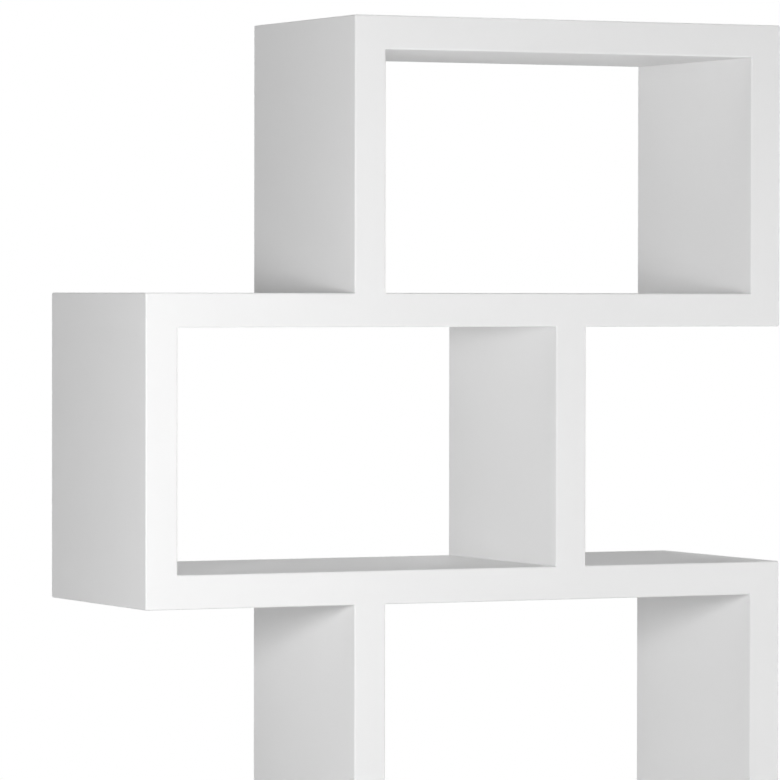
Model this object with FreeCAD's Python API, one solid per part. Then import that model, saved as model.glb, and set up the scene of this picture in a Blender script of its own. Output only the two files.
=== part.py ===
import FreeCAD, Part
from functools import cache
import math
import os

# Staggered bookcase: five boards and eight uprights, all hollow-core panels, held by dowels and cam fittings.
# Millimetres. The origin is on the floor under the middle, +X to the right, +Y to the back and +Z up.

# Overall size and layout
overall_width = 1000.0
overall_depth = 350.0
clear_height = 342.0
panel_thickness = 48.0
board_names = ["top", "upper", "middle", "lower", "base"]
tier_names = ["top", "second", "third", "bottom"]
# The two upright places that each tier uses, out of four from left to right, top tier first
tier_places = [(1, 3), (0, 2), (1, 3), (0, 2)]
last_place = 3

# Make-up of a panel
skin_thickness = 4.0
edging_thickness = 3.0
edging_radius = 2.5
edging_joint_gap = 0.1
long_rail_width = 40.0
cross_rail_width = 60.0
end_rail_width = 64.0
core_cell = 36.0
core_wall = 1.0

# Dowels between an upright and a board
dowel_radius = 4.0
dowel_length = 40.0
dowel_chamfer = 1.0
dowel_inset = 112.0
dowel_side_clearance = 0.1
dowel_end_clearance = 1.0

# Cam fittings between an upright and a board
fitting_inset = 66.0
thread_radius = 3.0
thread_length = 12.0
thread_clearance = 0.05
thread_end_clearance = 0.5
shank_radius = 3.5
shank_clearance = 0.3
neck_radius = 2.2
head_radius = 3.6
head_length = 4.0
head_clearance = 0.4
cam_distance = 34.0
cam_axis_depth = 14.5
cam_radius = 7.4
cam_floor = 2.5
cam_clearance = 0.1
cam_gap = 1.0
driver_slot_length = 9.0
driver_slot_width = 1.6
driver_slot_depth = 2.5
cap_thickness = 2.0
cap_clearance = 0.05
cap_chamfer = 0.4

# Levelling feet under the base board
foot_inset = 60.0
foot_disc_radius = 15.0
foot_disc_height = 4.5
foot_disc_chamfer = 1.0
foot_nut_across_flats = 19.0
foot_nut_height = 3.5
stem_radius = 4.0
stem_length = 30.0
stem_seat_depth = 5.0
stem_chamfer = 0.8
stem_clearance = 0.05
stem_hole_clearance = 1.0
insert_wall = 2.0
insert_length = 20.0

# Places that follow from the sizes above
left_face = -overall_width / 2
front_face = -overall_depth / 2
back_face = overall_depth / 2
base_height = foot_disc_height + foot_nut_height
tier_pitch = clear_height + panel_thickness
place_step = (overall_width - panel_thickness) / last_place
front_core = front_face + edging_thickness
back_core = back_face - edging_thickness
cavity_front = front_core + long_rail_width
cavity_back = back_core - long_rail_width
core_top = panel_thickness - skin_thickness
# Outer and inner side of the edging along a panel's front and back
long_sides = ((front_face, front_core), (back_face, back_core))
head_pocket_reach = head_radius + head_clearance
cam_inner_end = -head_pocket_reach - cam_floor
cam_outer_end = cam_axis_depth - cap_thickness
insert_radius = stem_radius + stem_clearance + insert_wall
touching = 1e-6

V = FreeCAD.Vector
along_x = V(1, 0, 0)
along_y = V(0, 1, 0)


def block(low, high):
    """Box from its lowest to its highest corner."""
    size = V(*high) - V(*low)
    return Part.makeBox(size.x, size.y, size.z, V(*low))


def place_left(place):
    """Left side of an upright place."""
    return left_face + place * place_step


def board_underside(level):
    """Height of a board's lower face, where level 0 is the top board."""
    return base_height + (len(tier_names) - level) * tier_pitch


def clipped(points, low, high):
    """The part of a convex outline that lies inside a rectangle."""
    for axis, limit, sign in ((0, low[0], 1), (0, high[0], -1), (1, low[1], 1), (1, high[1], -1)):
        kept = []
        for here, after in zip(points, points[1:] + points[:1]):
            here_side = sign * (here[axis] - limit)
            after_side = sign * (after[axis] - limit)
            if here_side >= 0:
                kept.append(here)
            if here_side * after_side < 0:
                share = here_side / (here_side - after_side)
                kept.append(tuple(a + share * (b - a) for a, b in zip(here, after)))
        points = kept
    return points


def outline_area(points):
    """Area of a flat outline."""
    pairs = zip(points, points[1:] + points[:1])
    return abs(sum(a[0] * b[1] - b[0] * a[1] for a, b in pairs)) / 2


def wire(points, height):
    """Closed outline at one height."""
    corners = [V(x, y, height) for x, y in points]
    return Part.makePolygon(corners + corners[:1])


def honeycomb(length):
    """Paper core of a bay between two cross rails: a sheet of six-sided cells, as deep as the core."""
    low = (core_wall, cavity_front + core_wall)
    high = (length - core_wall, cavity_back - core_wall)
    cell_radius = (core_cell - core_wall) / math.sqrt(3)
    row_step = core_cell * math.sqrt(3) / 2
    corners = [(math.sin(math.radians(60 * i)), math.cos(math.radians(60 * i))) for i in range(6)]
    rows = math.ceil((high[1] - low[1]) / row_step / 2) + 1
    columns = math.ceil((high[0] - low[0]) / core_cell / 2) + 1
    wires = []
    for row in range(-rows, rows + 1):
        for column in range(-columns, columns + 1):
            x = length / 2 + (column + 0.5 * (row % 2)) * core_cell
            y = row * row_step
            cell = clipped([(x + cell_radius * a, y + cell_radius * b) for a, b in corners], low, high)
            if len(cell) > 2 and outline_area(cell) > core_cell * core_wall:
                wires.append(wire(cell, skin_thickness))
    rim = wire([(0, cavity_front), (length, cavity_front), (length, cavity_back), (0, cavity_back)],
               skin_thickness)
    sheet = Part.makeFace([rim] + wires, "Part::FaceMakerBullseye")
    return sheet.extrude(V(0, 0, core_top - skin_thickness)).Solids[0]


def eased(strip, exposed):
    """Edging strip with its exposed arrises rounded over."""
    return strip.makeFillet(edging_radius, [edge for edge in strip.Edges if exposed(edge.CenterOfMass)])


def on_face(z):
    """True at the height of a flat panel's lower or upper face."""
    return min(z, panel_thickness - z) < touching


def long_strip(length, outer, inner):
    """Square strip along the front or back of a flat panel."""
    return block((0, min(outer, inner), 0), (length, max(outer, inner), panel_thickness))


def upright_edging(length):
    """Edging of an upright: strips along its front and back."""
    return [eased(long_strip(length, outer, inner), lambda c: abs(c.y - outer) < touching and on_face(c.z))
            for outer, inner in long_sides]


@cache
def board_edging(length, joints):
    """Edging of a board: strips along its front and back, and end strips between them.

    joints holds where each upright that meets the board starts along it, and the height of the face it meets.
    There the arrises stay square, so that the joint closes without a groove.
    """
    strips = []
    for outer, inner in long_sides:
        square = long_strip(length, outer, inner)
        corners_eased = eased(square, lambda c: abs(c.y - outer) < touching and not on_face(c.z))
        strip = eased(square, lambda c: abs(c.y - inner) > touching)
        for start, face in joints:
            low = min(face, panel_thickness - edging_radius)
            joint = block((start, min(outer, inner), low),
                          (start + panel_thickness, max(outer, inner), low + edging_radius))
            strip = strip.fuse(corners_eased.common(joint))
        strips.append(strip.removeSplitter().Solids[0])
    front = front_core + edging_joint_gap
    back = back_core - edging_joint_gap
    left_end = (0, edging_thickness, 0)
    right_end = (length, length - edging_thickness, length - panel_thickness)
    for outer, inner, end_start in (left_end, right_end):
        strip = block((min(outer, inner), front, 0), (max(outer, inner), back, panel_thickness))
        square_faces = [face for start, face in joints if abs(start - end_start) < touching]
        free_faces = {0, panel_thickness} - set(square_faces)
        if free_faces:
            strip = eased(strip, lambda c: abs(c.x - outer) < touching
                          and min(abs(c.z - face) for face in free_faces) < touching)
        strips.append(strip)
    return strips


@cache
def panel(length, cross_rails):
    """Pieces inside the edging of a hollow-core panel. It lies flat from X = 0, with its lower face at Z = 0.

    cross_rails holds where each rail across the panel starts and ends, and the first and last close its ends.
    """
    start = cross_rails[0][0]
    end = cross_rails[-1][1]
    skins = [block((start, front_core, low), (end, back_core, low + skin_thickness)) for low in (0, core_top)]
    rails = [block((start, low, skin_thickness), (end, low + long_rail_width, core_top))
             for low in (front_core, cavity_back)]
    for rail_start, rail_end in cross_rails:
        rails.append(block((rail_start, cavity_front, skin_thickness), (rail_end, cavity_back, core_top)))
    bays = [(here[1], after[0]) for here, after in zip(cross_rails, cross_rails[1:])]
    cores = [honeycomb(bay_end - bay_start).translated(V(bay_start, 0, 0)) for bay_start, bay_end in bays]
    return {"skins": skins, "frame": rails, "core": cores}


def board(level):
    """Pieces of one board in place, with a cross rail at every upright place that it spans."""
    first, last = tier_places[0] if level == 0 else (0, last_place)
    length = (last - first) * place_step + panel_thickness
    cross_rails = []
    for place in range(first, last + 1):
        middle = (place - first) * place_step + panel_thickness / 2
        start = edging_thickness if place == first else middle - cross_rail_width / 2
        end = length - edging_thickness if place == last else middle + cross_rail_width / 2
        cross_rails.append((start, end))
    joints = []
    for tier, face in ((level - 1, panel_thickness), (level, 0)):
        if tier in range(len(tier_places)):
            joints += [((place - first) * place_step, face) for place in tier_places[tier]]
    offset = V(place_left(first), 0, board_underside(level))
    pieces = {**panel(length, tuple(cross_rails)), "edging": board_edging(length, tuple(joints))}
    return {kind: [solid.translated(offset) for solid in solids] for kind, solids in pieces.items()}


def upright(tier, place):
    """Pieces of one upright in place, stood on end with its upper skin facing left."""
    cross_rails = ((0, end_rail_width), (clear_height - end_rail_width, clear_height))
    offset = V(place_left(place) + panel_thickness, 0, board_underside(tier + 1) + panel_thickness)
    pieces = {**panel(clear_height, cross_rails), "edging": upright_edging(clear_height)}
    return {kind: [solid.rotated(V(0, 0, 0), along_y, -90).translated(offset) for solid in solids]
            for kind, solids in pieces.items()}


@cache
def dowel():
    """Dowel across a joint at height 0, upright along Z."""
    peg = Part.makeCylinder(dowel_radius, dowel_length, V(0, 0, -dowel_length / 2))
    return peg.makeChamfer(dowel_chamfer, [edge for edge in peg.Edges if edge.Closed])


@cache
def dowel_hole():
    """Hole for one dowel, half in the board and half in the upright."""
    reach = dowel_length / 2 + dowel_end_clearance
    return Part.makeCylinder(dowel_radius + dowel_side_clearance, 2 * reach, V(0, 0, -reach))


@cache
def connecting_bolt():
    """Bolt screwed into the board below height 0, with its head at the middle of the cam above."""
    shank_length = cam_distance - cam_radius - cam_gap
    head_start = cam_distance - head_length / 2
    thread = Part.makeCylinder(thread_radius, thread_length, V(0, 0, -thread_length))
    shank = Part.makeCylinder(shank_radius, shank_length)
    neck = Part.makeCylinder(neck_radius, head_start - shank_length, V(0, 0, shank_length))
    head = Part.makeCylinder(head_radius, head_length, V(0, 0, head_start))
    return thread.fuse([shank, neck, head]).removeSplitter().Solids[0]


@cache
def bolt_hole():
    """Pilot hole in the board and clearance hole in the upright, as far as the cam."""
    pilot_length = thread_length + thread_end_clearance
    pilot = Part.makeCylinder(thread_radius + thread_clearance, pilot_length, V(0, 0, -pilot_length))
    clearance_hole = Part.makeCylinder(shank_radius + shank_clearance, cam_distance)
    return pilot.fuse(clearance_hole)


@cache
def cam():
    """Cam in the locked position: a drum that hooks the bolt's head, with a cross slot to turn it by."""
    drum_length = cam_outer_end - cam_inner_end
    drum = Part.makeCylinder(cam_radius, drum_length, V(cam_inner_end, 0, cam_distance), along_x)
    pocket_radius = math.hypot(head_radius, head_length / 2) + head_clearance
    pocket_start = V(-head_pocket_reach, 0, cam_distance)
    pocket = Part.makeCylinder(pocket_radius, 2 * head_pocket_reach, pocket_start, along_x)
    entry = Part.makeCylinder(head_pocket_reach, 2 * cam_radius, V(0, 0, cam_distance), along_y)
    slot_reach = neck_radius + head_clearance
    neck_slot = block((-slot_reach, -slot_reach, cam_distance - 2 * cam_radius),
                      (slot_reach, slot_reach, cam_distance))
    turn_slot = block((-slot_reach, 0, cam_distance - 2 * cam_radius),
                      (slot_reach, 2 * cam_radius, cam_distance))
    half_length = driver_slot_length / 2
    half_width = driver_slot_width / 2
    drive_start = cam_outer_end - driver_slot_depth
    drive = [block((drive_start, -y, cam_distance - z), (cam_axis_depth, y, cam_distance + z))
             for y, z in ((half_length, half_width), (half_width, half_length))]
    return drum.cut([pocket, entry, neck_slot, turn_slot] + drive).Solids[0]


@cache
def cam_bore():
    """Bore for the cam and its cap, from the right-hand face of the upright."""
    depth = cam_axis_depth - cam_inner_end
    return Part.makeCylinder(cam_radius + cam_clearance, depth, V(cam_inner_end, 0, cam_distance), along_x)


@cache
def cam_cap():
    """Push-in cap over the cam, flush with the upright's face."""
    radius = cam_radius + cam_clearance - cap_clearance
    disc = Part.makeCylinder(radius, cap_thickness, V(cam_outer_end, 0, cam_distance), along_x)
    rim = [edge for edge in disc.Edges if edge.Closed and edge.CenterOfMass.x > cam_axis_depth - touching]
    return disc.makeChamfer(cap_chamfer, rim)


def joint_hardware(tier, place, is_top_end):
    """Dowels, fittings and holes where one end of an upright meets a board."""
    middle = place_left(place) + panel_thickness / 2
    bolt_x = place_left(place) + panel_thickness - cam_axis_depth
    joint_z = board_underside(tier) if is_top_end else board_underside(tier + 1) + panel_thickness
    turn = 180 if is_top_end else 0

    def placed(shape, x, y):
        return shape.rotated(V(0, 0, 0), along_x, turn).translated(V(x, y, joint_z))

    hardware = {"dowels": [], "connecting_bolts": [], "cams": [], "cam_caps": [], "holes": []}
    for side in (-1, 1):
        dowel_y = side * (overall_depth / 2 - dowel_inset)
        fitting_y = side * (overall_depth / 2 - fitting_inset)
        hardware["dowels"].append(placed(dowel(), middle, dowel_y))
        hardware["connecting_bolts"].append(placed(connecting_bolt(), bolt_x, fitting_y))
        hardware["cams"].append(placed(cam(), bolt_x, fitting_y))
        hardware["cam_caps"].append(placed(cam_cap(), bolt_x, fitting_y))
        hardware["holes"].append(placed(dowel_hole(), middle, dowel_y))
        hardware["holes"] += [placed(hole, bolt_x, fitting_y) for hole in (bolt_hole(), cam_bore())]
    return hardware


def foot_pad():
    """Foot under the base board: a disc on the floor with a six-sided collar that takes a spanner."""
    disc = Part.makeCylinder(foot_disc_radius, foot_disc_height)
    disc = disc.makeChamfer(foot_disc_chamfer, [edge for edge in disc.Edges if edge.Closed])
    corner_radius = foot_nut_across_flats / math.sqrt(3)
    angles = [math.radians(60 * i) for i in range(6)]
    corners = [(corner_radius * math.cos(angle), corner_radius * math.sin(angle)) for angle in angles]
    collar = Part.Face(wire(corners, foot_disc_height)).extrude(V(0, 0, foot_nut_height))
    seat = Part.makeCylinder(stem_radius, stem_seat_depth, V(0, 0, base_height - stem_seat_depth))
    return disc.fuse(collar).removeSplitter().cut(seat).Solids[0]


def foot_stem():
    """Screw of a foot, set in the pad and standing up into the insert."""
    length = stem_seat_depth + stem_length
    screw = Part.makeCylinder(stem_radius, length, V(0, 0, base_height - stem_seat_depth))
    tip = [edge for edge in screw.Edges if edge.Closed and edge.CenterOfMass.z > base_height]
    return screw.makeChamfer(stem_chamfer, tip)


def foot_insert():
    """Sleeve in the base board that the screw of a foot turns in."""
    sleeve = Part.makeCylinder(insert_radius, insert_length, V(0, 0, base_height))
    bore = Part.makeCylinder(stem_radius + stem_clearance, insert_length, V(0, 0, base_height))
    return sleeve.cut(bore).Solids[0]


def foot_hole():
    """Hole in the base board for the insert, and above it for the end of the screw."""
    depth = stem_length + stem_hole_clearance
    screw_hole = Part.makeCylinder(stem_radius + stem_hole_clearance, depth, V(0, 0, base_height))
    return screw_hole.fuse(Part.makeCylinder(insert_radius, insert_length, V(0, 0, base_height)))


def foot_places():
    """Name and middle of each foot: near the ends, under the middle of the front and back rails."""
    x = overall_width / 2 - foot_inset
    y = overall_depth / 2 - edging_thickness - long_rail_width / 2
    return {f"{depth_name}_{side_name}_foot": V(side * x, depth * y, 0)
            for depth_name, depth in (("front", -1), ("back", 1))
            for side_name, side in (("left", -1), ("right", 1))}


def drilled(solids, holes):
    """The solids with every hole that reaches them cut out. Each hole comes with its box."""
    result = []
    for solid in solids:
        box = solid.BoundBox
        reaching = [hole for hole, hole_box in holes if box.intersect(hole_box)]
        result += solid.cut(reaching).Solids if reaching else [solid]
    return result


def export(nodes):
    """One file for each node, with its solids side by side."""
    os.makedirs("parts", exist_ok=True)
    for name, solids in nodes.items():
        Part.makeCompound(solids).exportStep(f"parts/{name}.step")


def build():
    """Every node of the bookcase, as a list of solids under its name."""
    hardware = {"dowels": [], "connecting_bolts": [], "cams": [], "cam_caps": []}
    holes = []
    panels = {f"{name}_board": board(level) for level, name in enumerate(board_names)}
    for tier, places in enumerate(tier_places):
        for side_name, place in zip(("left", "right"), places):
            panels[f"{tier_names[tier]}_{side_name}_upright"] = upright(tier, place)
            for is_top_end in (True, False):
                joint = joint_hardware(tier, place, is_top_end)
                holes += joint.pop("holes")
                for kind, solids in joint.items():
                    hardware[kind] += solids
    holes += [foot_hole().translated(middle) for middle in foot_places().values()]
    holes = [(hole, hole.BoundBox) for hole in holes]

    nodes = {"board_cores": [], "upright_cores": []}
    for name, pieces in panels.items():
        for kind in ("skins", "frame", "edging"):
            nodes[f"{name}_{kind}"] = drilled(pieces[kind], holes)
        nodes["board_cores" if name.endswith("board") else "upright_cores"] += drilled(pieces["core"], holes)
    nodes.update(hardware)
    nodes["foot_inserts"] = [foot_insert().translated(middle) for middle in foot_places().values()]
    for name, middle in foot_places().items():
        nodes[f"{name}_pad"] = [foot_pad().translated(middle)]
        nodes[f"{name}_stem"] = [foot_stem().translated(middle)]
    return nodes


export(build())
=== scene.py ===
import math
import bpy
from mathutils import Matrix, Vector


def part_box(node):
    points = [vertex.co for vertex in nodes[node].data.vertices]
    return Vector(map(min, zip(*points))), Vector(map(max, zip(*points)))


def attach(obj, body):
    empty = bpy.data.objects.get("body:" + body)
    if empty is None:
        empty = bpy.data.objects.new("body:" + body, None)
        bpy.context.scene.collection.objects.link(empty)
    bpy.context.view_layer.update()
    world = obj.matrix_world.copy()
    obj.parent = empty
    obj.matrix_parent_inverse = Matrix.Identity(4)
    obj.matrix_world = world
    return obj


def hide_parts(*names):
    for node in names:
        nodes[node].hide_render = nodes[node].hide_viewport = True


# Looks of a staggered bookcase: white lacquered panels, their fittings and their levelling feet.
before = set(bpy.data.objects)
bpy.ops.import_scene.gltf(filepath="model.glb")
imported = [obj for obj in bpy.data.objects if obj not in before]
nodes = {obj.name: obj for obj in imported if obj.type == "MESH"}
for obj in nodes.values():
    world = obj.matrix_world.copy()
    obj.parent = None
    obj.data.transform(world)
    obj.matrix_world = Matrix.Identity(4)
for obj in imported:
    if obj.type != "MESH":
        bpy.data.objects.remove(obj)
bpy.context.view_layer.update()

# Camera of the photograph: metres, degrees, and pixels of the square picture
picture_pixels = 780
focal_pixels = 5251.5
sensor_width_mm = 36.0
camera_place = (-3.2946, -6.843, 1.2255)
camera_turn = 25.402
camera_dip = 1.0552
camera_roll = 0.0691

# Studio: lamps as place, size in metres, power in watts, and whether glossy faces mirror them
lamp_target = (0.0, 0.0, 1.0)
lamps = {
    "broad_key": ((-2.0, -3.0, 1.05), 1.2, 41.6, True),
    "near_key": ((-1.8, -1.84, 1.17), 0.35, 19.5, True),
    "fill": ((2.2, -1.8, 1.0), 1.2, 19.6, True),
    "right_side": ((3.2, -0.4, 1.1), 1.2, 5.0, True),
    "high_front": ((0.0, -3.0, 2.6), 0.8, 8.8, True),
    "overhead": ((0.5, 0.0, 3.6), 0.8, 19.8, True),
    "back": ((1.2, 3.2, 1.3), 0.8, 20.0, False),
}

# Light of the backdrop behind the bookcase, and how many degrees it is turned to the left
backdrop_level = 0.854
backdrop_turn = 20

# Floor, which turns to white between two distances in metres
floor_radius = 30.0
floor_sides = 96
floor_fade = (0.6, 3.6)
floor_glow = 0.45
floor_colour = (0.82, 0.82, 0.82, 1)

# Places of the fittings in each joint of an upright with a board, in metres
panel_thickness = 0.048
dowel_across = 0.024
dowel_depth = 0.063
bolt_across = 0.0335
fitting_depth = 0.109
cam_distance = 0.034
tiers = ("top", "second", "third", "bottom")
sides = ("left", "right")
uprights = [f"{tier}_{side}_upright" for tier in tiers for side in sides]
feet = [f"{depth}_{side}_foot" for depth in ("front", "back") for side in sides]

# Sizes of the fittings, in metres
dowel_sizes = {"Radius": 0.004, "Length": 0.040, "Chamfer": 0.001, "Flutes": 20, "Flute Depth": 0.0003}
bolt_sizes = {"Thread Radius": 0.003, "Thread Depth": 0.0007, "Pitch": 0.0015, "Thread Length": 0.012,
              "Tip": 0.0012, "Shank Radius": 0.0035, "Shank Length": 0.0256, "Neck Radius": 0.0022,
              "Head Radius": 0.0036, "Head Start": 0.032, "Head Length": 0.004, "Easing": 0.0006}
cap_sizes = {"Radius": 0.00745, "Thickness": 0.002, "Chamfer": 0.0004, "Rim": 0.0012, "Dish": 0.0003,
             "Gate Radius": 0.0009, "Gate Depth": 0.00015}
screw_sizes = {"Radius": 0.004, "Thread Depth": 0.0006, "Pitch": 0.00125, "Start": 0.003,
               "Length": 0.035, "Tip": 0.0012}
pad_sizes = {"Radius": 0.015, "Height": 0.0045, "Chamfer": 0.001, "Sole Radius": 0.009, "Hollow": 0.0006,
             "Ribs": 30, "Rib Depth": 0.0005, "Collar Apothem": 0.0095, "Collar Height": 0.008,
             "Seat Radius": 0.00405, "Seat Floor": 0.003, "Easing": 0.0005}

# Facets round each fitting and segments along it
dowel_segments = 3
bolt_thread_facets = 16
bolt_thread_segments = 64
bolt_facets = 20
cap_facets = 40
screw_facets = 24
screw_segments = 196
pad_facets = 60

# Edges that bend more stay sharp, and points that are closer are welded, in metres
sharp_edge_degrees = 35
weld_distance = 1e-6


class Value:
    """One output of a node. Arithmetic on values adds Math nodes to their tree."""

    def __init__(self, graph, socket):
        self.graph = graph
        self.socket = socket

    def output(self, name):
        return Value(self.graph, self.socket.node.outputs[name])

    def calc(self, operation, *others):
        return self.graph.calc(operation, self, *others)

    def __add__(self, other):
        return self.calc("ADD", other)

    def __sub__(self, other):
        return self.calc("SUBTRACT", other)

    def __rsub__(self, other):
        return self.graph.calc("SUBTRACT", other, self)

    def __mul__(self, other):
        return self.calc("MULTIPLY", other)

    def __truediv__(self, other):
        return self.calc("DIVIDE", other)

    def __gt__(self, other):
        return self.calc("GREATER_THAN", other)

    def __lt__(self, other):
        return self.calc("LESS_THAN", other)

    def __neg__(self):
        return self.calc("MULTIPLY", -1.0)

    def __abs__(self):
        return self.calc("ABSOLUTE")

    __radd__ = __add__
    __rmul__ = __mul__


class Graph:
    """A node tree whose nodes are added one at a time, each with its settings and its sockets."""

    def __init__(self, tree):
        self.tree = tree
        tree.nodes.clear()

    def node(self, kind, settings, sockets, output=0):
        """Adds a node: its settings, then its sockets. A list puts several values on one socket."""
        node = self.tree.nodes.new(kind)
        for name, value in settings.items():
            if name == "stops":
                set_stops(node.color_ramp.elements, value)
            elif name == "items":
                while len(node.index_switch_items) < value:
                    node.index_switch_items.new()
            else:
                setattr(node, name, value)
        for key, given in sockets.items():
            for value in given if isinstance(given, list) else [given]:
                if isinstance(value, Value):
                    self.tree.links.new(value.socket, node.inputs[key])
                else:
                    node.inputs[key].default_value = value
        return Value(self, node.outputs[output] if len(node.outputs) else None)

    def calc(self, operation, *operands):
        return self.node("ShaderNodeMath", {"operation": operation}, dict(enumerate(operands)))

    def split(self, vector):
        """X, Y and Z of a vector."""
        x = self.node("ShaderNodeSeparateXYZ", {}, {"Vector": vector}, "X")
        return x, x.output("Y"), x.output("Z")

    def place(self, stretch=(1, 1, 1)):
        """Place on the piece, in metres, stretched along its axes."""
        place = self.node("ShaderNodeTexCoord", {}, {}, "Object")
        return self.node("ShaderNodeMapping", {}, {"Vector": place, "Scale": stretch})

    def noise(self, scale, detail, stretch=(1, 1, 1)):
        """Noise with about this many blotches to the metre."""
        place = self.place(stretch)
        return self.node("ShaderNodeTexNoise", {}, {"Vector": place, "Scale": scale, "Detail": detail})

    def mixed(self, factor, first, second):
        """Mix of two colours, which are sockets 6 and 7 of a Mix node, with output 2."""
        return self.node("ShaderNodeMix", {"data_type": "RGBA"}, {0: factor, 6: first, 7: second}, 2)

    def bump(self, height, depth, strength):
        """Relief of this depth, in metres."""
        return self.node("ShaderNodeBump", {}, {"Strength": strength, "Distance": depth, "Height": height})


def set_stops(elements, stops):
    """Colour ramp with these positions and colours."""
    while len(elements) < len(stops):
        elements.new(1.0)
    for element, (position, colour) in zip(elements, stops):
        element.position = position
        element.color = colour


def grey(level):
    return (level, level, level, 1)


# Finishes

white_tones = (grey(0.852), grey(0.872))


def finish(name, describe):
    """Material whose Principled sockets are what describe(graph) gives."""
    material = bpy.data.materials.new(name)
    material.use_nodes = True
    graph = Graph(material.node_tree)
    shader = graph.node("ShaderNodeBsdfPrincipled", {}, describe(graph))
    graph.node("ShaderNodeOutputMaterial", {}, {"Surface": shader})
    return material


def white_lacquer(graph):
    """Satin white lacquer on hardboard: faint clouds, and the orange peel of a spray gun."""
    clouds = graph.noise(scale=2.6, detail=3.0)
    mist = graph.noise(scale=38.0, detail=2.0)
    peel = graph.noise(scale=420.0, detail=1.0)
    return {"Base Color": graph.mixed(clouds, *white_tones),
            "Roughness": 0.44 + 0.08 * clouds + 0.06 * mist,
            "Specular IOR Level": 0.35,
            "Normal": graph.bump(peel, depth=0.00004, strength=0.5)}


def white_edging(graph):
    """Edging strip in the lacquer's white, rolled a little smoother than the faces."""
    clouds = graph.noise(scale=2.6, detail=3.0)
    grain = graph.noise(scale=300.0, detail=2.0)
    return {"Base Color": graph.mixed(clouds, *white_tones),
            "Roughness": 0.42 + 0.08 * clouds + 0.03 * grain,
            "Specular IOR Level": 0.35,
            "Normal": graph.bump(grain, depth=0.00002, strength=0.4)}


def chipboard(graph):
    """Pressed wood chips, each chip in its own tone."""
    place = graph.place((1, 2.2, 3))
    chips = graph.node("ShaderNodeTexVoronoi", {}, {"Vector": place, "Scale": 170.0}, "Color")
    tone = graph.node("ShaderNodeSeparateColor", {}, {"Color": chips})
    browns = [(0.0, (0.20, 0.12, 0.06, 1)), (0.5, (0.46, 0.31, 0.17, 1)), (1.0, (0.63, 0.48, 0.30, 1))]
    shade = graph.node("ShaderNodeValToRGB", {"stops": browns}, {"Fac": tone})
    dust = graph.noise(scale=900.0, detail=2.0)
    return {"Base Color": graph.mixed(0.3 * dust, shade, (0.30, 0.20, 0.11, 1)),
            "Roughness": 0.78 + 0.15 * dust,
            "Normal": graph.bump(tone + 0.4 * dust, depth=0.0003, strength=0.6)}


def honeycomb_paper(graph):
    """Brown kraft paper with its fibres."""
    fibres = graph.noise(scale=500.0, detail=4.0, stretch=(1, 1, 0.2))
    blotches = graph.noise(scale=60.0, detail=2.0)
    tone = 0.6 * fibres + 0.4 * blotches
    return {"Base Color": graph.mixed(tone, (0.27, 0.17, 0.09, 1), (0.55, 0.40, 0.25, 1)),
            "Roughness": 0.82 + 0.12 * fibres,
            "Normal": graph.bump(fibres, depth=0.0001, strength=0.5)}


def beech(graph):
    """Beech turned along the dowel: long grain and short dark flecks."""
    grain = graph.noise(scale=700.0, detail=3.0, stretch=(1, 1, 0.05))
    flecks = graph.noise(scale=1600.0, detail=1.0, stretch=(1, 1, 0.15))
    dark = (flecks > 0.62) * 0.35
    wood = graph.mixed(grain, (0.56, 0.36, 0.20, 1), (0.74, 0.54, 0.34, 1))
    return {"Base Color": graph.mixed(dark, wood, (0.34, 0.19, 0.10, 1)),
            "Roughness": 0.55 + 0.2 * grain,
            "Normal": graph.bump(grain, depth=0.00008, strength=0.5)}


def plated_steel(graph):
    """Bright zinc plating with drawn lines and a little haze."""
    lines = graph.noise(scale=2500.0, detail=1.0, stretch=(1, 1, 0.08))
    haze = graph.noise(scale=140.0, detail=3.0)
    return {"Base Color": graph.mixed(haze, (0.60, 0.61, 0.62, 1), (0.74, 0.75, 0.74, 1)),
            "Metallic": 1.0,
            "Roughness": 0.22 + 0.14 * haze + 0.06 * lines,
            "Normal": graph.bump(lines, depth=0.00001, strength=0.3)}


def cast_zinc(graph):
    """Dull die-cast zinc with a pitted skin."""
    pits = graph.noise(scale=1100.0, detail=3.0)
    haze = graph.noise(scale=200.0, detail=2.0)
    return {"Base Color": graph.mixed(haze, (0.40, 0.41, 0.42, 1), (0.55, 0.56, 0.56, 1)),
            "Metallic": 1.0,
            "Roughness": 0.42 + 0.18 * pits,
            "Normal": graph.bump(pits, depth=0.00006, strength=0.5)}


def white_plastic(graph):
    """Moulded white caps with a fine spark-eroded skin."""
    skin = graph.noise(scale=1800.0, detail=2.0)
    clouds = graph.noise(scale=60.0, detail=2.0)
    return {"Base Color": graph.mixed(clouds, grey(0.80), grey(0.84)),
            "Roughness": 0.40 + 0.12 * skin,
            "Normal": graph.bump(skin, depth=0.00003, strength=0.5)}


def grey_nylon(graph):
    """Dark grey moulded nylon, slightly scuffed."""
    skin = graph.noise(scale=900.0, detail=2.0)
    scuffs = graph.noise(scale=120.0, detail=4.0, stretch=(1, 1, 4))
    return {"Base Color": graph.mixed(scuffs, grey(0.10), grey(0.19)),
            "Roughness": 0.46 + 0.2 * scuffs,
            "Normal": graph.bump(skin, depth=0.00005, strength=0.5)}


def make_finishes():
    makers = (white_lacquer, white_edging, chipboard, honeycomb_paper, beech, plated_steel, cast_zinc,
              white_plastic, grey_nylon)
    return {maker.__name__: finish(maker.__name__, maker) for maker in makers}


def dress_nodes(finishes):
    """Gives every CAD node its finish."""
    ends = {"_skins": "white_lacquer", "_edging": "white_edging", "_frame": "chipboard",
            "_cores": "honeycomb_paper", "dowels": "beech", "_bolts": "plated_steel",
            "_stem": "plated_steel", "_inserts": "plated_steel", "cams": "cast_zinc",
            "_caps": "white_plastic", "_pad": "grey_nylon"}
    for name, node in nodes.items():
        finish_name = next(kind for end, kind in ends.items() if name.endswith(end))
        node.data.materials.clear()
        node.data.materials.append(finishes[finish_name])


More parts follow.
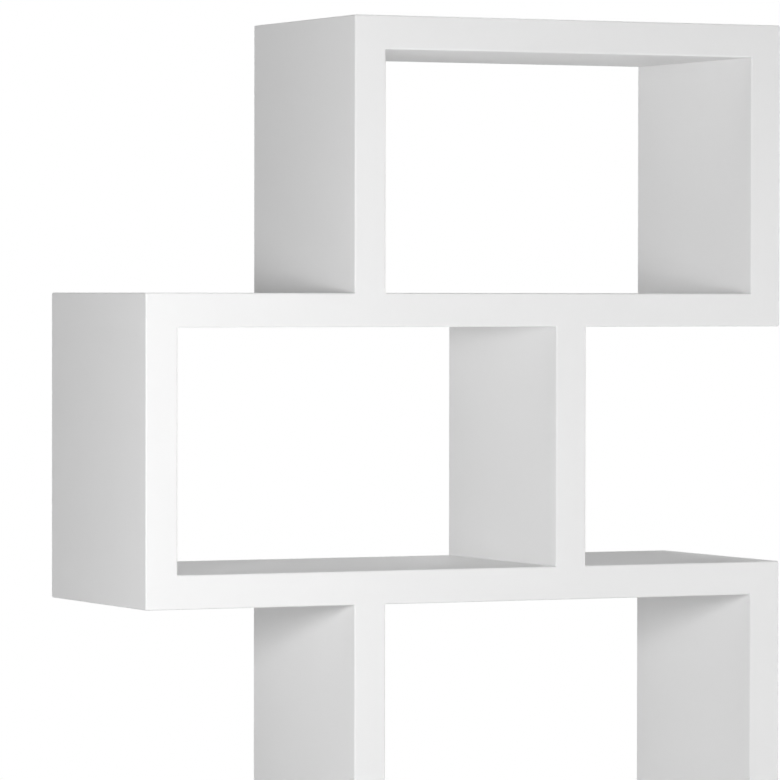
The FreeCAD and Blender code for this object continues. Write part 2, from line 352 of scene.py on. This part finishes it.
# Shapes of the fittings, each built round the Z axis

def angle_and_height(graph):
    """Angle about Z and height of each point."""
    x, y, z = graph.split(graph.node("GeometryNodeInputPosition", {}, {}))
    return y.calc("ARCTAN2", x), z


def at_radius(graph, mesh, angle, radius, height):
    """The mesh with each point at this angle, radius and height."""
    x = radius * angle.calc("COSINE")
    y = radius * angle.calc("SINE")
    place = graph.node("ShaderNodeCombineXYZ", {}, {0: x, 1: y, 2: height})
    return graph.node("GeometryNodeSetPosition", {}, {"Geometry": mesh, "Position": place})


def rod(graph, facets, segments, radius, length):
    """Cylinder about the origin, with its side in segments."""
    return graph.node("GeometryNodeMeshCylinder", {"fill_type": "NGON"},
                      {"Vertices": facets, "Side Segments": segments, "Radius": radius, "Depth": length},
                      "Mesh")


def turned(graph, outline, facets):
    """Solid turned about Z from an outline of radius and height that starts and ends on the axis."""
    rows = len(outline)
    grid = graph.node("GeometryNodeMeshGrid", {}, {"Size X": math.tau, "Size Y": rows - 1.0,
                                                   "Vertices X": facets + 1, "Vertices Y": rows}, "Mesh")
    angle, row, _ = graph.split(graph.node("GeometryNodeInputPosition", {}, {}))
    row = (row + (rows - 1) / 2).calc("ROUND")
    radius, height = (
        graph.node("GeometryNodeIndexSwitch", {"data_type": "FLOAT", "items": rows},
                   {0: row, **{i + 1: point[axis] for i, point in enumerate(outline)}})
        for axis in (0, 1))
    mesh = at_radius(graph, grid, angle, radius, height)
    return graph.node("GeometryNodeMergeByDistance", {}, {"Geometry": mesh, "Distance": weld_distance})


def threaded(graph, radius, depth, pitch, length, tip, tip_side, facets, segments):
    """Threaded rod about the origin, tapered at its lower (-1) or upper (1) end."""
    angle, height = angle_and_height(graph)
    turns = height / pitch - angle / math.tau
    ridge = abs(2.0 * turns.calc("FRACT") - 1.0)
    taper = radius - tip + (0.5 * length - tip_side * height)
    thread = taper.calc("MINIMUM", radius - depth * ridge)
    return at_radius(graph, rod(graph, facets, segments, radius, length), angle, thread, height)


def moved_up(graph, mesh, distance):
    lift = graph.node("ShaderNodeCombineXYZ", {}, {2: distance})
    return graph.node("GeometryNodeTransform", {}, {"Geometry": mesh, "Translation": lift})


def fluted_dowel(graph, size):
    """Dowel with glue flutes along it and chamfered ends."""
    angle, height = angle_and_height(graph)
    mesh = rod(graph, 2 * size["Flutes"], dowel_segments, size["Radius"], size["Length"])
    # The middle segment ends a sixth of the length from the middle, and the rod at half of it
    is_end = abs(height) > size["Length"] / dowel_segments
    is_side = 1.0 - is_end
    groove = 0.5 - 0.5 * (angle * size["Flutes"]).calc("COSINE")
    radius = size["Radius"] - is_end * size["Chamfer"] - is_side * groove * size["Flute Depth"]
    reach = 0.5 * size["Length"] - is_side * size["Chamfer"]
    return at_radius(graph, mesh, angle, radius, reach * height.calc("SIGN"))


def connecting_bolt(graph, size):
    """Bolt with a thread below the joint, and a shank, neck and head above it."""
    length = size["Thread Length"]
    thread = threaded(graph, size["Thread Radius"], size["Thread Depth"], size["Pitch"], length, size["Tip"],
                      -1, bolt_thread_facets, bolt_thread_segments)
    thread = moved_up(graph, thread, -0.5 * length)
    easing = size["Easing"]
    shank, neck, head = size["Shank Radius"], size["Neck Radius"], size["Head Radius"]
    shank_end, head_start = size["Shank Length"], size["Head Start"]
    head_end = head_start + size["Head Length"]
    outline = [(0.0, 0.0), (shank, 0.0), (shank, shank_end - easing), (shank - easing, shank_end),
               (neck, shank_end), (neck, head_start), (head - easing, head_start),
               (head, head_start + easing), (head, head_end - easing), (head - easing, head_end),
               (0.0, head_end)]
    body = turned(graph, outline, bolt_facets)
    return graph.node("GeometryNodeJoinGeometry", {}, {"Geometry": [thread, body]})


def cam_cap(graph, size):
    """Push-in cap with a chamfered rim, a shallow dish and the mark of its gate."""
    radius, chamfer, dish = size["Radius"], size["Chamfer"], size["Dish"]
    gate, gate_depth = size["Gate Radius"], size["Gate Depth"]
    back = -size["Thickness"]
    rim = radius - chamfer
    inner = rim - size["Rim"]
    gate_floor = -(dish + gate_depth)
    outline = [(0.0, back), (rim, back), (radius, back + chamfer), (radius, -chamfer), (rim, 0.0),
               (inner, 0.0), (inner - dish, -dish), (gate, -dish), (gate - gate_depth, gate_floor),
               (0.0, gate_floor)]
    return turned(graph, outline, cap_facets)


def foot_screw(graph, size):
    """Screw of a levelling foot, threaded over its whole length."""
    screw = threaded(graph, size["Radius"], size["Thread Depth"], size["Pitch"], size["Length"], size["Tip"],
                     1, screw_facets, screw_segments)
    return moved_up(graph, screw, size["Start"] + 0.5 * size["Length"])


def foot_pad(graph, size):
    """Foot: a ribbed disc with a hollow sole, and a six-sided collar with the seat of the screw."""
    radius, height, chamfer, easing = size["Radius"], size["Height"], size["Chamfer"], size["Easing"]
    collar, top = size["Collar Apothem"], size["Collar Height"]
    sole, hollow = size["Sole Radius"], size["Hollow"]
    seat, seat_floor = size["Seat Radius"], size["Seat Floor"]
    outline = [(0.0, hollow), (sole, hollow), (sole + hollow, 0.0), (radius - chamfer, 0.0),
               (radius, chamfer), (radius, height - chamfer), (radius - chamfer, height),
               (collar, height), (collar, top - easing), (collar - easing, top), (seat, top),
               (seat, seat_floor), (0.0, seat_floor)]
    mesh = turned(graph, outline, pad_facets)
    x, y, z = graph.split(graph.node("GeometryNodeInputPosition", {}, {}))
    angle = y.calc("ARCTAN2", x)
    distance = (x * x + y * y).calc("SQRT")
    is_rim = distance > radius - 0.5 * chamfer
    is_collar = (z > height - easing) * (distance < collar + easing) * (distance > collar - 2 * easing)
    rib = 0.5 - 0.5 * (angle * size["Ribs"]).calc("COSINE")
    sixth = math.tau / 6
    off_flat = angle.calc("FLOORED_MODULO", sixth) - sixth / 2
    six_sided = distance / off_flat.calc("COSINE")
    shaped = distance - is_rim * rib * size["Rib Depth"] + is_collar * (six_sided - distance)
    return at_radius(graph, mesh, angle, shaped, z)


# Pieces

def smoothed(graph, mesh):
    """The mesh shaded smooth, with its sharper edges kept."""
    bend = graph.node("GeometryNodeInputMeshEdgeAngle", {}, {})
    is_gentle = bend < math.radians(sharp_edge_degrees)
    for domain, smooth in (("FACE", True), ("EDGE", is_gentle)):
        mesh = graph.node("GeometryNodeSetShadeSmooth", {"domain": domain},
                          {"Geometry": mesh, "Shade Smooth": smooth})
    return mesh


def fitting_tree(shape, sizes, material):
    """Geometry tree that puts one fitting at each place, with a named input for each of its sizes."""
    tree = bpy.data.node_groups.new(shape.__name__, "GeometryNodeTree")
    tree.interface.new_socket("Geometry", in_out="OUTPUT", socket_type="NodeSocketGeometry")
    tree.interface.new_socket("Places", in_out="INPUT", socket_type="NodeSocketGeometry")
    for name, value in sizes.items():
        kind = "NodeSocketInt" if isinstance(value, int) else "NodeSocketFloat"
        tree.interface.new_socket(name, in_out="INPUT", socket_type=kind)
    graph = Graph(tree)
    given = graph.node("NodeGroupInput", {}, {}, "Places")
    fitting = smoothed(graph, shape(graph, {name: given.output(name) for name in sizes}))
    turn = graph.node("GeometryNodeInputNamedAttribute", {"data_type": "FLOAT_VECTOR"},
                      {"Name": "turn"})
    copies = graph.node("GeometryNodeInstanceOnPoints", {},
                        {"Points": given, "Instance": fitting, "Rotation": turn})
    real = graph.node("GeometryNodeRealizeInstances", {}, {"Geometry": copies})
    dressed = graph.node("GeometryNodeSetMaterial", {}, {"Geometry": real, "Material": material})
    graph.node("NodeGroupOutput", {}, {"Geometry": dressed})
    return tree


def add_fittings(name, tree, sizes, places, body, slot, *replaced):
    """Piece of one body: the tree's fitting at each place and turn, as a plain mesh."""
    mesh = bpy.data.meshes.new(name)
    mesh.from_pydata([place for place, _ in places], [], [])
    turns = mesh.attributes.new("turn", "FLOAT_VECTOR", "POINT")
    turns.data.foreach_set("vector", [angle for _, turn in places for angle in turn])
    piece = bpy.data.objects.new(name, mesh)
    bpy.context.scene.collection.objects.link(piece)
    modifier = piece.modifiers.new("fitting", "NODES")
    modifier.node_group = tree
    for item in tree.interface.items_tree:
        if item.in_out == "INPUT" and item.name in sizes:
            modifier[item.identifier] = sizes[item.name]
    shaped = piece.evaluated_get(bpy.context.evaluated_depsgraph_get())
    made = bpy.data.meshes.new_from_object(shaped)
    piece.modifiers.clear()
    piece.data = made
    made.name = name
    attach(piece, body)
    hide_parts(*replaced)


def joint_places():
    """Places and turns of the dowels, bolts and caps in every joint."""
    upward = (0, 0, 0)
    downward = (math.pi, 0, 0)
    rightward = (0, math.pi / 2, 0)
    dowels, bolts, caps = [], [], []
    for upright in uprights:
        low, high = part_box(upright + "_skins")
        right_face = low.x + panel_thickness
        for side in (-1, 1):
            depth = side * fitting_depth
            for joint_height, end, turn in ((low.z, 1, upward), (high.z, -1, downward)):
                dowels.append(((low.x + dowel_across, side * dowel_depth, joint_height), upward))
                bolts.append(((low.x + bolt_across, depth, joint_height), turn))
                caps.append(((right_face, depth, joint_height + end * cam_distance), rightward))
    return dowels, bolts, caps


def add_hardware(finishes):
    dowels, bolts, caps = joint_places()
    for name, shape, sizes, places, slot, replaced in (
            ("fluted_dowels", fluted_dowel, dowel_sizes, dowels, "beech", "dowels"),
            ("threaded_bolts", connecting_bolt, bolt_sizes, bolts, "plated_steel", "connecting_bolts"),
            ("dished_caps", cam_cap, cap_sizes, caps, "white_plastic", "cam_caps")):
        tree = fitting_tree(shape, sizes, finishes[slot])
        add_fittings(name, tree, sizes, places, "carcass", slot, replaced)
    screw_tree = fitting_tree(foot_screw, screw_sizes, finishes["plated_steel"])
    pad_tree = fitting_tree(foot_pad, pad_sizes, finishes["grey_nylon"])
    for foot in feet:
        low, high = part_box(foot + "_pad")
        places = [(((low.x + high.x) / 2, (low.y + high.y) / 2, 0.0), (0, 0, 0))]
        add_fittings(foot + "_screw_thread", screw_tree, screw_sizes, places, foot, "plated_steel",
                     foot + "_stem")
        add_fittings(foot + "_glide", pad_tree, pad_sizes, places, foot, "grey_nylon", foot + "_pad")


# Studio and camera

def seen_directly(graph):
    """1 for rays that show the background: straight from the camera, mirrored or let through."""
    path = graph.node("ShaderNodeLightPath", {}, {}, "Is Camera Ray")
    total = path + path.output("Is Glossy Ray") + path.output("Is Transmission Ray")
    return total.calc("MINIMUM", 1.0)


def white_world():
    """White all round to look at, while its light comes from a bright backdrop."""
    world = bpy.data.worlds.new("studio")
    world.use_nodes = True
    bpy.context.scene.world = world
    graph = Graph(world.node_tree)
    seen = seen_directly(graph)
    x, y, _ = graph.split(graph.node("ShaderNodeTexCoord", {}, {}, "Generated"))
    turn = math.radians(backdrop_turn)
    behind = y * math.cos(turn) - x * math.sin(turn)
    behind = behind.calc("MAXIMUM", 0.0)
    strength = seen + (1 - seen) * backdrop_level * behind * behind
    background = graph.node("ShaderNodeBackground", {}, {"Color": grey(1), "Strength": strength})
    graph.node("ShaderNodeOutputWorld", {}, {"Surface": background})


def pale_floor():
    """Pale floor with the bookcase's shadow, which fades to white away from it."""
    mesh = bpy.data.meshes.new("floor")
    angles = [math.tau * i / floor_sides for i in range(floor_sides)]
    rim = [(floor_radius * math.cos(angle), floor_radius * math.sin(angle), 0) for angle in angles]
    mesh.from_pydata(rim, [], [list(range(floor_sides))])
    floor = bpy.data.objects.new("floor", mesh)
    bpy.context.scene.collection.objects.link(floor)
    material = bpy.data.materials.new("floor")
    material.use_nodes = True
    graph = Graph(material.node_tree)
    distance = graph.node("ShaderNodeVectorMath", {"operation": "LENGTH"}, {0: graph.place()}, "Value")
    fade = graph.node("ShaderNodeMapRange", {"interpolation_type": "SMOOTHSTEP"},
                      {"Value": distance, "From Min": floor_fade[0], "From Max": floor_fade[1]})
    painted = graph.node("ShaderNodeBsdfDiffuse", {}, {"Color": floor_colour})
    white = graph.node("ShaderNodeEmission", {}, {"Color": grey(1), "Strength": 1.0})
    glow = (floor_glow + (1 - floor_glow) * fade) * seen_directly(graph)
    surface = graph.node("ShaderNodeMixShader", {}, {0: glow, 1: painted, 2: white})
    graph.node("ShaderNodeOutputMaterial", {}, {"Surface": surface})
    mesh.materials.append(material)


def soft_lamp(name, place, size, power, mirrored):
    data = bpy.data.lights.new(name, "AREA")
    data.shape = "SQUARE"
    data.size = size
    data.energy = power
    lamp = bpy.data.objects.new(name, data)
    lamp.location = place
    lamp.rotation_euler = (Vector(lamp_target) - Vector(place)).to_track_quat("-Z", "Y").to_euler()
    lamp.visible_camera = False
    lamp.visible_glossy = mirrored
    bpy.context.scene.collection.objects.link(lamp)


def place_camera():
    camera = bpy.data.objects.new("camera", bpy.data.cameras.new("camera"))
    camera.data.sensor_width = sensor_width_mm
    camera.data.lens = sensor_width_mm * focal_pixels / picture_pixels
    turn = Matrix.Rotation(math.radians(-camera_turn), 4, "Z")
    tilt = Matrix.Rotation(math.radians(90 - camera_dip), 4, "X")
    roll = Matrix.Rotation(math.radians(camera_roll), 4, "Z")
    camera.matrix_world = Matrix.Translation(camera_place) @ turn @ tilt @ roll
    bpy.context.scene.collection.objects.link(camera)
    bpy.context.scene.camera = camera


bpy.context.scene.view_settings.view_transform = "Standard"
all_finishes = make_finishes()
dress_nodes(all_finishes)
add_hardware(all_finishes)
white_world()
pale_floor()
for lamp_name, lamp_values in lamps.items():
    soft_lamp(lamp_name, *lamp_values)
place_camera()
